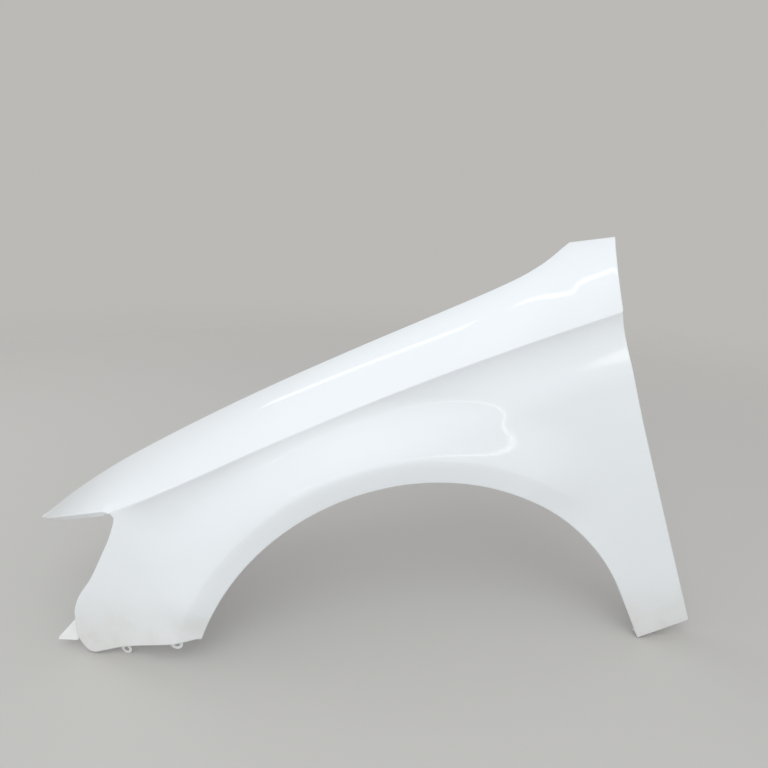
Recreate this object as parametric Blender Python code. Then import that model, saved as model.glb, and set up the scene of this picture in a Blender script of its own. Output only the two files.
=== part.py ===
"""Left front fender of a passenger car: one pressing of painted sheet steel.

Metres. +X runs to the rear of the car, +Y inboard and +Z up, as the fender sits on the car.
Every place below is measured from the wheel centre, in the plane of the wheel-arch edge. The
finished fender is then placed so that its origin lies under the middle of the hood rail.
"""

from math import cos, hypot, pi, radians, sin, sqrt, tan

import bmesh
import bpy
from mathutils import Vector

# Sheet
SHEET_THICKNESS = 0.0008
FOLD_RADIUS = 0.002
FOLD_STEPS = 3
WELD_DISTANCE = 0.00002

# Wheel arch: an arc about the wheel centre, then a straight leg down to the foot
ARCH_RADIUS = 0.354
ARCH_FRONT_ANGLE = radians(142.8)
ARCH_LEG_ANGLE = radians(7.7)
ARCH_NOTCH_ANGLE = radians(127)
ARCH_CREASE_END_ANGLE = radians(40)

# Lip band round the arch and the flare above it
LIP_WIDTH = 0.035
LIP_TUCK = 0.0045
FLARE_WIDTH = 0.088
FLARE_SOFTNESS = 0.0095
FLARE_KINK_SHARE = 0.77
FLARE_FULL_FRONT_ANGLE = radians(136)
FLARE_FULL_REAR_ANGLE = radians(49)
FLARE_END_REAR_ANGLE = radians(30)
FLARE_FRONT_END_SHARE = 0.78

# Body side
SIDE_BULGE_HEIGHT = 0.088
SIDE_BULGE_RADIUS = 2.4
SIDE_SETBACK = 0.003
NOSE_TURN_X = -0.160
NOSE_TURN_LENGTH = 0.290
NOSE_TUCK = 0.042

# Shoulder crease and the hollow under it
CREASE_REAR_HEIGHT = 0.483
CREASE_DROP = 0.0523
CREASE_DROP_POWER = 2.2
HOLLOW_HEIGHT = 0.100
HOLLOW_DEPTH = 0.0064
HOLLOW_START_LENGTH = 0.050
NOTCH_EASE_LENGTH = 0.170

# Door edge and foot
DOOR_EDGE_X = 0.446
DOOR_EDGE_BOW = 0.010
DOOR_EDGE_TOP_BOW = 0.030
DOOR_EDGE_BOW_HEIGHT = 0.330
DOOR_EDGE_WAIST_HEIGHT = 0.280
FOOT_HEIGHT = -0.056

# Nose: lamp notch, front edge and bumper line
NOTCH_X = -0.341
NOTCH_RADIUS = 0.012
NOTCH_TOP_ANGLE = radians(45)
NOTCH_BOTTOM_ANGLE = radians(-39)
NOSE_REACH = 0.130
BUMPER_LINE_HEIGHT = 0.2205
BUMPER_LINE_BOW = 0.0045

# Hood edge, from the tip over the lamp to the corner beside the windscreen
TIP_X = -0.507
TIP_HEIGHT = 0.404
TIP_DEPTH = 0.204
TIP_WIDTH = 0.003
SPIKE_SWEEP_SHARE = 0.6
SPIKE_EDGE_LIFT = 0.0111
SCREEN_CORNER_X = 0.437
SCREEN_CORNER_RISE = 0.180
REAR_TOP_X = 0.500
REAR_TOP_HEIGHT = 0.576
REAR_TOP_DEPTH = 0.115
SCREEN_CREASE_X = 0.395

# Folded edges
ARCH_HEM_WIDTH = 0.013
ARCH_HEM_ANGLE = radians(109)
SPIKE_FLANGE_WIDTH = 0.008
FRONT_FLANGE_WIDTH = 0.010
BUMPER_FLANGE_WIDTH = 0.007
DOOR_FLANGE_WIDTH = 0.010
TOP_FLANGE_WIDTH = 0.009
SILL_FLANGE_WIDTH = 0.022

# Hood rail: a drop wall and a bolt shelf that lies in one straight plane
RAIL_FRONT_X = -0.300
RAIL_HEIGHT = 0.498
RAIL_SLOPE = 0.125
RAIL_WIDTH = 0.016
RAIL_PAD_WIDTH = 0.027
SPIKE_WALL_TIP_SHARE = 0.3

# Tabs
BUMPER_EAR_LENGTHS = (0.014, 0.017)
ARCH_EAR_LENGTH = 0.007
DOOR_TAB_LENGTH = 0.020
BUMPER_TAB_REACH = 0.036
BUMPER_TAB_FOOT_REACH = 0.0025
BUMPER_TAB_FOOT_DROP = 0.0135
BUMPER_TAB_ROOT_WIDTH = 0.034
TAB_ROUND_STEPS = 8

# Holes
BOLT_HOLE_DIAMETER = 0.009
EAR_HOLE_DIAMETER = 0.008
SCREW_HOLE_DIAMETER = 0.006
CUTTER_LENGTH = 0.010
HOLE_SIDES = 16

# Stations along the panel and rows across it
FRONT_STATIONS = 12
CREASE_STATIONS = 24
SCREEN_STATIONS = 3
DOOR_STATIONS = 15
SPIKE_STATIONS = 9
NOTCH_STATIONS = 2
STRIP_ROWS = 7

# Stations that carry a tab, a pad or a hole, each counted from its edge's first end
PAD_SPACING_STATIONS = 5
BUMPER_TAB_STATIONS = (3, 4)
DOOR_TAB_STATIONS = (2, 9)
BUMPER_EAR_STATIONS = ((3, 6), (10, 11))
ARCH_EAR_STATIONS = (0, 1)
SILL_HOLE_STATIONS = (2, 10)
ARCH_HOLE_SHARES = (0.05, 0.24, 0.43, 0.62, 0.80, 0.96)

# Shares of the lip width: rows that follow the arch edge
LIP_ROW_SHARES = (0.0, 0.3, 0.65, 0.88, 1.0, 1.12, 1.4)

# Shares of the way from the last of them to the outer edge
ROW_SHARES = (0.14, 0.28, 0.42, 0.56, 0.69, 0.80, 0.89, 0.95, 1.0)

# Front edge from the bumper line to the notch: shares of the nose reach and of the rise
FRONT_EDGE_SHARES = (
    (0.875, 0.0),
    (0.945, 0.02),
    (0.985, 0.075),
    (1.0, 0.155),
    (0.943, 0.285),
    (0.895, 0.36),
    (0.777, 0.45),
    (0.558, 0.56),
    (0.354, 0.69),
    (0.16, 0.82),
)

# Hood edge: shares of its length, of its rise and of the tip's depth
HOOD_EDGE_SHARES = (
    (0.0, 0.0, 1.0),
    (0.10, 0.21, 0.89),
    (0.21, 0.375, 0.80),
    (0.40, 0.565, 0.695),
    (0.60, 0.705, 0.62),
    (0.84, 0.835, 0.562),
    (0.93, 0.905, 0.575),
    (1.0, 1.0, 0.686),
)

# Bend point of the strip's section, at the lamp and at the door: shares of width and rise
STRIP_FRONT_SHARES = (0.36, 0.68)
STRIP_REAR_SHARES = (0.40, 0.78)

INBOARD = Vector((0, 1, 0))
DOWN = Vector((0, 0, -1))
SHOULDER_INWARD = Vector((0, 0.6, -0.8))
SPIKE_INWARD = Vector((0, 0.5, -0.87))


# Curves and surfaces

def blend(start, end, share):
    return start + (end - start) * share


def smooth_step(value, low, high):
    share = min(1, max(0, (value - low) / (high - low)))
    return share * share * (3 - 2 * share)


def spline_point(points, share):
    """A point on the smooth curve through evenly numbered points, share from 0 to 1."""
    position = share * (len(points) - 1)
    index = min(int(position), len(points) - 2)
    local = position - index
    start = Vector(points[index])
    end = Vector(points[index + 1])
    before = Vector(points[index - 1]) if index > 0 else start * 2 - end
    after = Vector(points[index + 2]) if index + 2 < len(points) else end * 2 - start
    pull_start = (end - before) / 2
    pull_end = (after - start) / 2
    square = (end - start) * 3 - pull_start * 2 - pull_end
    cubic = (start - end) * 2 + pull_start + pull_end
    return start + pull_start * local + square * local ** 2 + cubic * local ** 3


def crease_height(x):
    share = (DOOR_EDGE_X - x) / (DOOR_EDGE_X - NOTCH_X)
    return CREASE_REAR_HEIGHT - CREASE_DROP * max(0, share) ** CREASE_DROP_POWER


def flare_strength(x, z):
    """How much of the flare there is: all of it over the wheel, none by the door."""
    rise = z / hypot(x, z)
    if x > 0:
        return smooth_step(rise, sin(FLARE_END_REAR_ANGLE), sin(FLARE_FULL_REAR_ANGLE))
    fade = smooth_step(rise, sin(ARCH_FRONT_ANGLE), sin(FLARE_FULL_FRONT_ANGLE))
    return blend(FLARE_FRONT_END_SHARE, 1, fade)


def side_depth(x, z):
    """Depth inboard of the arch plane of the body side below the crease."""
    nose_share = max(0, NOSE_TURN_X - x) / NOSE_TURN_LENGTH
    body = SIDE_SETBACK + NOSE_TUCK * nose_share ** 2
    body += (z - SIDE_BULGE_HEIGHT) ** 2 / (2 * SIDE_BULGE_RADIUS)

    below = (crease_height(x) - z) / HOLLOW_HEIGHT
    if 0 < below < 1:
        fade = smooth_step(x, NOTCH_X, NOTCH_X + HOLLOW_START_LENGTH)
        body += HOLLOW_DEPTH * fade * below * (1 - below) ** 2 * 27 / 4

    outward = max(0, hypot(x, z) - ARCH_RADIUS)
    past_lip = outward - LIP_WIDTH
    ramp = (past_lip + sqrt(past_lip ** 2 + FLARE_SOFTNESS ** 2)) / 2
    left = max(0, 1 - ramp / FLARE_WIDTH)
    slope = blend(smooth_step(left, 0, 1), left ** 2, FLARE_KINK_SHARE)
    flare = flare_strength(x, z) * slope
    lip = LIP_TUCK * (max(0, 1 - outward / LIP_WIDTH) - 1)
    return blend(body, lip, flare)


def side_point(x, z):
    return Vector((x, side_depth(x, z), z))


def arch_lengths():
    """Lengths of the skin's arc round the arch and of the straight leg below it."""
    radius = ARCH_RADIUS + FOLD_RADIUS
    leg_drop = radius * sin(ARCH_LEG_ANGLE) - FOOT_HEIGHT - FOLD_RADIUS
    return radius * (ARCH_FRONT_ANGLE - ARCH_LEG_ANGLE), leg_drop / cos(ARCH_LEG_ANGLE)


def arch_share_of_angle(angle):
    """The share of the arch edge at which an angle about the wheel centre is reached."""
    arc, leg = arch_lengths()
    return (ARCH_RADIUS + FOLD_RADIUS) * (ARCH_FRONT_ANGLE - angle) / (arc + leg)


def arch_edge(share):
    """The arch edge from its front end to the foot, share from 0 to 1, as x and z."""
    radius = ARCH_RADIUS + FOLD_RADIUS
    arc, leg = arch_lengths()
    way = share * (arc + leg)
    if way < arc:
        angle = ARCH_FRONT_ANGLE - way / radius
        return radius * cos(angle), radius * sin(angle)
    fallen = (way - arc) * cos(ARCH_LEG_ANGLE)
    x = radius * cos(ARCH_LEG_ANGLE) + fallen * tan(ARCH_LEG_ANGLE)
    return x, radius * sin(ARCH_LEG_ANGLE) - fallen


def notch_point(angle):
    """A point of the rounded corner behind the headlamp, as x and z."""
    centre_x = NOTCH_X - NOTCH_RADIUS
    centre_z = crease_height(NOTCH_X) - NOTCH_RADIUS / 2
    return centre_x + NOTCH_RADIUS * cos(angle), centre_z + NOTCH_RADIUS * sin(angle)


def front_edge(share):
    """The edge beside bumper and headlamp, from the bumper line to the crease, as x and z."""
    rise = crease_height(NOTCH_X) - BUMPER_LINE_HEIGHT
    bottom = BUMPER_LINE_HEIGHT + FOLD_RADIUS
    points = [
        (NOTCH_X - NOSE_REACH * reach_share + FOLD_RADIUS, bottom + rise * rise_share, 0)
        for reach_share, rise_share in FRONT_EDGE_SHARES
    ]
    for step in range(3):
        turn = blend(NOTCH_BOTTOM_ANGLE, NOTCH_TOP_ANGLE, step / 2)
        points.append((*notch_point(turn), 0))
    point = spline_point(points, share)
    return point.x, point.y


def door_edge(share):
    """The door edge below the crease, from the crease down to the foot, as x and z."""
    z = blend(crease_height(DOOR_EDGE_X), FOOT_HEIGHT + FOLD_RADIUS, share)
    bow_share = (z - DOOR_EDGE_WAIST_HEIGHT) / DOOR_EDGE_BOW_HEIGHT
    bow = DOOR_EDGE_TOP_BOW if bow_share > 0 else DOOR_EDGE_BOW
    return DOOR_EDGE_X + bow * bow_share ** 2 - FOLD_RADIUS, z


def hood_edge(share):
    """The edge beside the hood, from the tip to the windscreen corner."""
    points = [
        (
            blend(TIP_X, SCREEN_CORNER_X, length_share),
            TIP_DEPTH * depth_share,
            TIP_HEIGHT + SCREEN_CORNER_RISE * rise_share,
        )
        for length_share, rise_share, depth_share in HOOD_EDGE_SHARES
    ]
    return spline_point(points, share)


def hood_edge_at(x):
    """The hood edge's point at a place along the car, found by halving."""
    low = 0.0
    high = 1.0
    for _ in range(40):
        middle = (low + high) / 2
        if hood_edge(middle).x < x:
            low = middle
        else:
            high = middle
    return hood_edge(low)


def crease_edge_height(x):
    """The crease's height, eased onto the rounded notch corner at its front end."""
    notch_x, notch_z = notch_point(NOTCH_TOP_ANGLE)
    gap = notch_z - crease_height(notch_x)
    ease = max(0, 1 - (x - notch_x) / NOTCH_EASE_LENGTH) ** 2
    return crease_height(x) + gap * ease


# Skin: rows of points across the panel

def bumper_line_lift(station, share):
    """How far a point is lifted by the bow of the bumper line, share from arch to front edge."""
    nearness = max(0, 1 - station / FRONT_STATIONS)
    return BUMPER_LINE_BOW * 4 * share * (1 - share) * nearness ** 2


def crease_places():
    """The x of each station along the crease, with one where the windscreen corner starts."""
    front = notch_point(NOTCH_TOP_ANGLE)[0]
    rear = door_edge(0)[0]
    places = [blend(front, SCREEN_CREASE_X, i / CREASE_STATIONS) for i in range(CREASE_STATIONS)]
    places += [
        blend(SCREEN_CREASE_X, rear, i / SCREEN_STATIONS) for i in range(SCREEN_STATIONS + 1)
    ]
    return places


def body_side_rows():
    """The skin below the crease: rows from the arch edge to the outer edge."""
    notch_share = arch_share_of_angle(ARCH_NOTCH_ANGLE)
    crease_end_share = arch_share_of_angle(ARCH_CREASE_END_ANGLE)
    places = crease_places()
    pairs = []
    for station in range(FRONT_STATIONS):
        share = station / FRONT_STATIONS
        pairs.append((arch_edge(notch_share * share), front_edge(share)))
    for x in places[:-1]:
        share = (x - places[0]) / (places[-1] - places[0])
        inner = arch_edge(blend(notch_share, crease_end_share, share))
        pairs.append((inner, (x, crease_edge_height(x))))
    for station in range(DOOR_STATIONS + 1):
        share = station / DOOR_STATIONS
        pairs.append((arch_edge(blend(crease_end_share, 1, share)), door_edge(share)))

    columns = []
    for station, (inner, outer) in enumerate(pairs):
        way_x = outer[0] - inner[0]
        way_z = outer[1] - inner[1]
        way = hypot(way_x, way_z)
        shares = [LIP_WIDTH * row_share / way for row_share in LIP_ROW_SHARES]
        shares += [blend(shares[-1], 1, row_share) for row_share in ROW_SHARES]
        column = []
        for share in shares:
            z = inner[1] + way_z * share + bumper_line_lift(station, share)
            column.append(side_point(inner[0] + way_x * share, z))
        columns.append(column)
    return [list(row) for row in zip(*columns)]


def strip_edges():
    """Pairs of points, on the strip's lower edge and on its hood edge, from tip to door."""
    notch_x, notch_z = notch_point(NOTCH_TOP_ANGLE)
    notch_depth = side_depth(notch_x, notch_z)
    top_x, top_z = notch_point(pi / 2)
    low_tip = hood_edge(0) + DOWN * TIP_WIDTH
    lower_edge = []
    for station in range(SPIKE_STATIONS):
        share = station / SPIKE_STATIONS
        lower_edge.append((blend(low_tip.x, top_x, share), blend(low_tip.z, top_z, share)))
    for station in range(NOTCH_STATIONS):
        lower_edge.append(notch_point(blend(pi / 2, NOTCH_TOP_ANGLE, station / NOTCH_STATIONS)))
    pairs = []
    for x, z in lower_edge:
        left = (notch_x - x) / (notch_x - low_tip.x)
        sweep = blend(left, left ** 2, SPIKE_SWEEP_SHARE)
        lift = SPIKE_EDGE_LIFT * 4 * left * (1 - left)
        low = Vector((x, blend(notch_depth, low_tip.y, sweep), z + lift))
        pairs.append((low, hood_edge_at(x)))

    corner = Vector((REAR_TOP_X - FOLD_RADIUS, REAR_TOP_DEPTH, REAR_TOP_HEIGHT))
    for station, x in enumerate(crease_places()):
        low = side_point(x, crease_edge_height(x))
        if station < CREASE_STATIONS:
            high = hood_edge_at(blend(notch_x, SCREEN_CORNER_X, station / CREASE_STATIONS))
        else:
            high = blend(hood_edge(1), corner, (station - CREASE_STATIONS) / SCREEN_STATIONS)
        pairs.append((low, high))
    return pairs


def shoulder_strip_rows():
    """The skin above the crease: a convex strip from crease or lamp edge to hood edge."""
    columns = []
    for low, high in strip_edges():
        fade = smooth_step(low.x, NOTCH_X, NOTCH_X + NOTCH_EASE_LENGTH)
        width_share = blend(STRIP_FRONT_SHARES[0], STRIP_REAR_SHARES[0], fade)
        rise_share = blend(STRIP_FRONT_SHARES[1], STRIP_REAR_SHARES[1], fade)
        bend = Vector((
            blend(low.x, high.x, width_share),
            blend(low.y, high.y, width_share),
            blend(low.z, high.z, rise_share),
        ))
        column = []
        for row in range(STRIP_ROWS + 1):
            share = row / STRIP_ROWS
            column.append(blend(blend(low, bend, share), blend(bend, high, share), share))
        columns.append(column)
    return [list(row) for row in zip(*columns)]


# Flanges: rows that carry the skin's edges round their bends

def outward_directions(edge, inner):
    """Unit vectors that lie in the skin and point off its edge."""
    outs = []
    for index, point in enumerate(edge):
        ahead = edge[min(index + 1, len(edge) - 1)]
        behind = edge[max(index - 1, 0)]
        along = (ahead - behind).normalized()
        off = point - inner[index]
        outs.append((off - along * off.dot(along)).normalized())
    return outs


def folded_rows(edge, outs, inwards, widths, angle=pi / 2):
    """Rows round a bend at an edge of the skin and along the straight leg after it."""
    rows = [list(edge)]
    ins = [(way - out * way.dot(out)).normalized() for way, out in zip(inwards, outs)]
    for step in range(1, FOLD_STEPS + 1):
        turn = angle * step / FOLD_STEPS
        reach = FOLD_RADIUS * sin(turn)
        rise = FOLD_RADIUS * (1 - cos(turn))
        rows.append([p + out * reach + way * rise for p, out, way in zip(edge, outs, ins)])
    legs = [out * cos(angle) + way * sin(angle) for out, way in zip(outs, ins)]
    rows.append([p + leg * width for p, leg, width in zip(rows[-1], legs, widths)])
    return rows


def inboard_fold(edge, inner, widths, angle=pi / 2):
    outs = outward_directions(edge, inner)
    return folded_rows(edge, outs, [INBOARD] * len(edge), widths, angle)


def arch_hem_rows(side):
    """The hem inside the wheel arch, turned back a little past square."""
    return inboard_fold(side[0], side[1], [ARCH_HEM_WIDTH] * len(side[0]), ARCH_HEM_ANGLE)


def front_flange_rows(side):
    """The flange beside bumper and headlamp, deepest where the bumper tab grows from it."""
    count = FRONT_STATIONS + 1
    widths = [FRONT_FLANGE_WIDTH] * count
    widths[BUMPER_TAB_STATIONS[1]] = BUMPER_TAB_ROOT_WIDTH
    return inboard_fold(side[-1][:count], side[-2][:count], widths)


def door_flange_rows(side):
    start = FRONT_STATIONS + CREASE_STATIONS + SCREEN_STATIONS
    edge = side[-1][start:]
    return inboard_fold(edge, side[-2][start:], [DOOR_FLANGE_WIDTH] * len(edge))


def bumper_flange_rows(side):
    edge = [row[0] for row in side]
    inner = [row[1] for row in side]
    return inboard_fold(edge, inner, [BUMPER_FLANGE_WIDTH] * len(edge))


def sill_flange_rows(side):
    """The level flange under the foot."""
    edge = [row[-1] for row in side]
    count = len(edge)
    return folded_rows(edge, [DOWN] * count, [INBOARD] * count, [SILL_FLANGE_WIDTH] * count)


def spike_flange_rows(strip):
    """The flange over the headlamp, from behind the tip to the notch corner."""
    count = SPIKE_STATIONS + NOTCH_STATIONS + 1
    edge = strip[0][1:count]
    outs = outward_directions(edge, strip[1][1:count])
    turns = [min(1, (len(edge) - 1 - i) / NOTCH_STATIONS / 2) for i in range(len(edge))]
    inwards = [blend(INBOARD, SPIKE_INWARD, turn).normalized() for turn in turns]
    widths = [SPIKE_FLANGE_WIDTH * min(1, (i + 1) / 4) for i in range(len(edge))]
    return folded_rows(edge, outs, inwards, widths)


def shoulder_flange_rows(strip):
    """The door-side flange of the strip, which turns with the shoulder."""
    edge = [row[-1] for row in strip]
    outs = outward_directions(edge, [row[-2] for row in strip])
    inwards = [
        blend(INBOARD, SHOULDER_INWARD, min(1, i / 2)).normalized() for i in range(len(edge))
    ]
    return folded_rows(edge, outs, inwards, [DOOR_FLANGE_WIDTH] * len(edge))


def top_flange_rows(strip):
    """The flange beside the windscreen corner."""
    edge = strip[-1][-SCREEN_STATIONS - 1:]
    outs = outward_directions(edge, strip[-2][-SCREEN_STATIONS - 1:])
    return folded_rows(edge, outs, [DOWN] * len(edge), [TOP_FLANGE_WIDTH] * len(edge))


def rail_height(x):
    return RAIL_HEIGHT + RAIL_SLOPE * x


def rail_wall_rows(strip):
    """The wall that drops from the hood edge, down to the rail's plane behind the lamp."""
    edge = strip[-1][1:-SCREEN_STATIONS]
    outs = outward_directions(edge, strip[-2][1:-SCREEN_STATIONS])
    rows = folded_rows(edge, outs, [DOWN] * len(edge), [0] * len(edge))[:-1]
    front_bend = hood_edge_at(RAIL_FRONT_X).z - FOLD_RADIUS
    front_drop = front_bend - rail_height(RAIL_FRONT_X) - FOLD_RADIUS
    bottom = []
    for point in rows[-1]:
        z = rail_height(point.x) + FOLD_RADIUS
        if point.x < RAIL_FRONT_X:
            share = (RAIL_FRONT_X - point.x) / (RAIL_FRONT_X - TIP_X)
            z = point.z - front_drop * blend(1, SPIKE_WALL_TIP_SHARE, share)
        bottom.append(Vector((point.x, point.y, z)))
    return rows + [bottom]


def is_rail_pad(station):
    """Two neighbouring stations in each pad spacing carry a wider stretch of shelf."""
    return station % PAD_SPACING_STATIONS in (1, 2)


def rail_shelf_rows(wall):
    """The bolt shelf: its bend from the wall, then a flat run that widens at each pad."""
    edge = [point for point in wall[-1] if point.x >= RAIL_FRONT_X]
    rows = folded_rows(edge, [DOWN] * len(edge), [INBOARD] * len(edge), [0] * len(edge))[:-1]
    rows.append([
        point + INBOARD * (RAIL_PAD_WIDTH if is_rail_pad(station) else RAIL_WIDTH)
        for station, point in enumerate(rows[-1])
    ])
    return rows


def rail_reference(shelf):
    """The underside of the shelf on the plain stretch nearest to its middle."""
    spacing = PAD_SPACING_STATIONS
    station = len(shelf[0]) // 2 // spacing * spacing - 1
    underside = Vector((RAIL_SLOPE, 0, -1)).normalized() * SHEET_THICKNESS
    return shelf[-2][station] + INBOARD * RAIL_WIDTH / 2 + underside


# Sheet building

def add_grid(sheet, rows):
    """Adds quads between rows of equally many points."""
    lines = [[sheet.verts.new(point) for point in row] for row in rows]
    for low, high in zip(lines, lines[1:]):
        for corners in zip(low, low[1:], high[1:], high):
            sheet.faces.new(corners)


def add_face(sheet, outline):
    sheet.faces.new([sheet.verts.new(point) for point in outline])


def tab_outline(root, reach):
    """A flat tab with a half-round end that grows from a run of points on an edge."""
    middle = (root[0] + root[-1]) / 2
    half = (root[-1] - root[0]) / 2
    straight = reach * max(0, 1 - half.length / reach.length)
    nose = reach - straight
    outline = list(reversed(root))
    for step in range(TAB_ROUND_STEPS + 1):
        turn = pi * step / TAB_ROUND_STEPS
        outline.append(middle + straight - half * cos(turn) + nose * sin(turn))
    return outline


def bumper_tab_outline(front_flange):
    """The triangular tab that points forward from the front flange to the bumper."""
    first, last = BUMPER_TAB_STATIONS
    root = front_flange[-1][first:last + 1]
    along = (root[-1] - root[0]).normalized()
    forward = Vector((-1, 0, 0))
    foot = root[0] + forward * BUMPER_TAB_FOOT_REACH - along * BUMPER_TAB_FOOT_DROP
    tip = root[0] + forward * BUMPER_TAB_REACH
    return list(reversed(root)) + [foot, tip - along * FOLD_RADIUS, tip + along * FOLD_RADIUS]


def tab_outlines(flanges):
    outlines = [bumper_tab_outline(flanges["front"])]
    bumper_edge = flanges["bumper"][-1]
    for (first, last), length in zip(BUMPER_EAR_STATIONS, BUMPER_EAR_LENGTHS):
        outlines.append(tab_outline(bumper_edge[first:last + 1], DOWN * length))
    first, last = ARCH_EAR_STATIONS
    outlines.append(tab_outline(bumper_edge[first:last + 1], DOWN * ARCH_EAR_LENGTH))
    for station in DOOR_TAB_STATIONS:
        root = flanges["door"][-1][station:station + 2]
        outlines.append(tab_outline(root, INBOARD * DOOR_TAB_LENGTH))
    return outlines


def build_flanges(side, strip):
    wall = rail_wall_rows(strip)
    return {
        "arch": arch_hem_rows(side),
        "front": front_flange_rows(side),
        "door": door_flange_rows(side),
        "bumper": bumper_flange_rows(side),
        "sill": sill_flange_rows(side),
        "spike": spike_flange_rows(strip),
        "shoulder": shoulder_flange_rows(strip),
        "top": top_flange_rows(strip),
        "wall": wall,
        "shelf": rail_shelf_rows(wall),
    }


def build_sheet(side, strip, flanges):
    """The pressing as one sheet without thickness, its faces pointing outboard."""
    sheet = bmesh.new()
    add_grid(sheet, side)
    add_grid(sheet, strip)
    for rows in flanges.values():
        add_grid(sheet, rows)
    for outline in tab_outlines(flanges):
        add_face(sheet, outline)
    bmesh.ops.remove_doubles(sheet, verts=sheet.verts, dist=WELD_DISTANCE)
    bmesh.ops.recalc_face_normals(sheet, faces=sheet.faces)
    if sum(face.normal.y * face.calc_area() for face in sheet.faces) > 0:
        bmesh.ops.reverse_faces(sheet, faces=sheet.faces)
    return sheet


# Holes

def hole_places(flanges):
    """Centre, axis and diameter of every hole in the flanges."""
    holes = []
    shelf = flanges["shelf"]
    for station in range(len(shelf[0]) - 1):
        if is_rail_pad(station) and is_rail_pad(station + 1):
            centre = sum((shelf[row][station + i] for row in (-1, -2) for i in (0, 1)), Vector()) / 4
            holes.append((centre, DOWN, BOLT_HOLE_DIAMETER))
    sill = flanges["sill"]
    for station in SILL_HOLE_STATIONS:
        holes.append(((sill[-1][station] + sill[-2][station]) / 2, DOWN, BOLT_HOLE_DIAMETER))
    bumper_edge = flanges["bumper"][-1]
    for (first, last), length in zip(BUMPER_EAR_STATIONS, BUMPER_EAR_LENGTHS):
        root_middle = (bumper_edge[first] + bumper_edge[last]) / 2
        centre = root_middle + DOWN * (length - EAR_HOLE_DIAMETER)
        holes.append((centre, INBOARD, EAR_HOLE_DIAMETER))
    door = flanges["door"]
    for station in DOOR_TAB_STATIONS:
        root_middle = (door[-1][station] + door[-1][station + 1]) / 2
        centre = root_middle + INBOARD * DOOR_TAB_LENGTH / 3
        holes.append((centre, Vector((1, 0, 0)), BOLT_HOLE_DIAMETER))
    hem = flanges["arch"]
    for share in ARCH_HOLE_SHARES:
        station = round(share * (len(hem[0]) - 2))
        leg = [hem[row][station + i] for row in (-1, -2) for i in (0, 1)]
        across = (leg[0] - leg[2]).cross(leg[1] - leg[0]).normalized()
        holes.append((sum(leg, Vector()) / 4, across, SCREW_HOLE_DIAMETER))
    return holes


def build_cutters(flanges):
    """One wire object that holds a round punch for every hole."""
    punches = bmesh.new()
    for centre, axis, diameter in hole_places(flanges):
        turn = Vector((0, 0, 1)).rotation_difference(axis).to_matrix().to_4x4()
        turn.translation = centre
        bmesh.ops.create_cone(
            punches, cap_ends=True, segments=HOLE_SIDES, radius1=diameter / 2,
            radius2=diameter / 2, depth=CUTTER_LENGTH, matrix=turn)
    mesh = bpy.data.meshes.new("hole_punches")
    punches.to_mesh(mesh)
    punches.free()
    cutters = bpy.data.objects.new("hole_punches", mesh)
    bpy.context.collection.objects.link(cutters)
    cutters.display_type = "WIRE"
    cutters.hide_render = True
    return cutters


# Object

def painted_steel():
    material = bpy.data.materials.new("gloss_white_paint")
    material.use_nodes = True
    shader = material.node_tree.nodes["Principled BSDF"]
    shader.inputs["Base Color"].default_value = (0.80, 0.83, 0.85, 1)
    shader.inputs["Roughness"].default_value = 0.2
    shader.inputs["Metallic"].default_value = 0.0
    shader.inputs["Coat Weight"].default_value = 1.0
    return material


def build_fender():
    side = body_side_rows()
    strip = shoulder_strip_rows()
    flanges = build_flanges(side, strip)
    sheet = build_sheet(side, strip, flanges)
    mesh = bpy.data.meshes.new("fender_panel")
    sheet.to_mesh(mesh)
    sheet.free()
    mesh.shade_smooth()
    mesh.set_sharp_from_angle(angle=radians(40))
    mesh.materials.append(painted_steel())

    fender = bpy.data.objects.new("fender_panel", mesh)
    bpy.context.collection.objects.link(fender)
    gauge = fender.modifiers.new("sheet gauge", "SOLIDIFY")
    gauge.thickness = SHEET_THICKNESS
    gauge.offset = -1
    gauge.use_even_offset = True
    cutters = build_cutters(flanges)
    piercing = fender.modifiers.new("piercing", "BOOLEAN")
    piercing.operation = "DIFFERENCE"
    piercing.solver = "EXACT"
    piercing.object = cutters

    origin = rail_reference(flanges["shelf"])
    fender.location = -origin
    cutters.location = -origin
    return fender


def main():
    for item in list(bpy.data.objects):
        bpy.data.objects.remove(item, do_unlink=True)
    build_fender()


main()
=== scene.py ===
"""Looks of a car's left front fender: the fine pressed panel, its paint and a plain studio.

Metres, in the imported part's frame: +X to the rear of the car, +Y inboard, +Z up. The panel is
built about the wheel centre, as the solid is, and is then moved into the part's frame.
"""

from math import cos, hypot, pi, radians, sin, sqrt, tan

import bmesh
import bpy
from mathutils import Matrix, Vector


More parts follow.
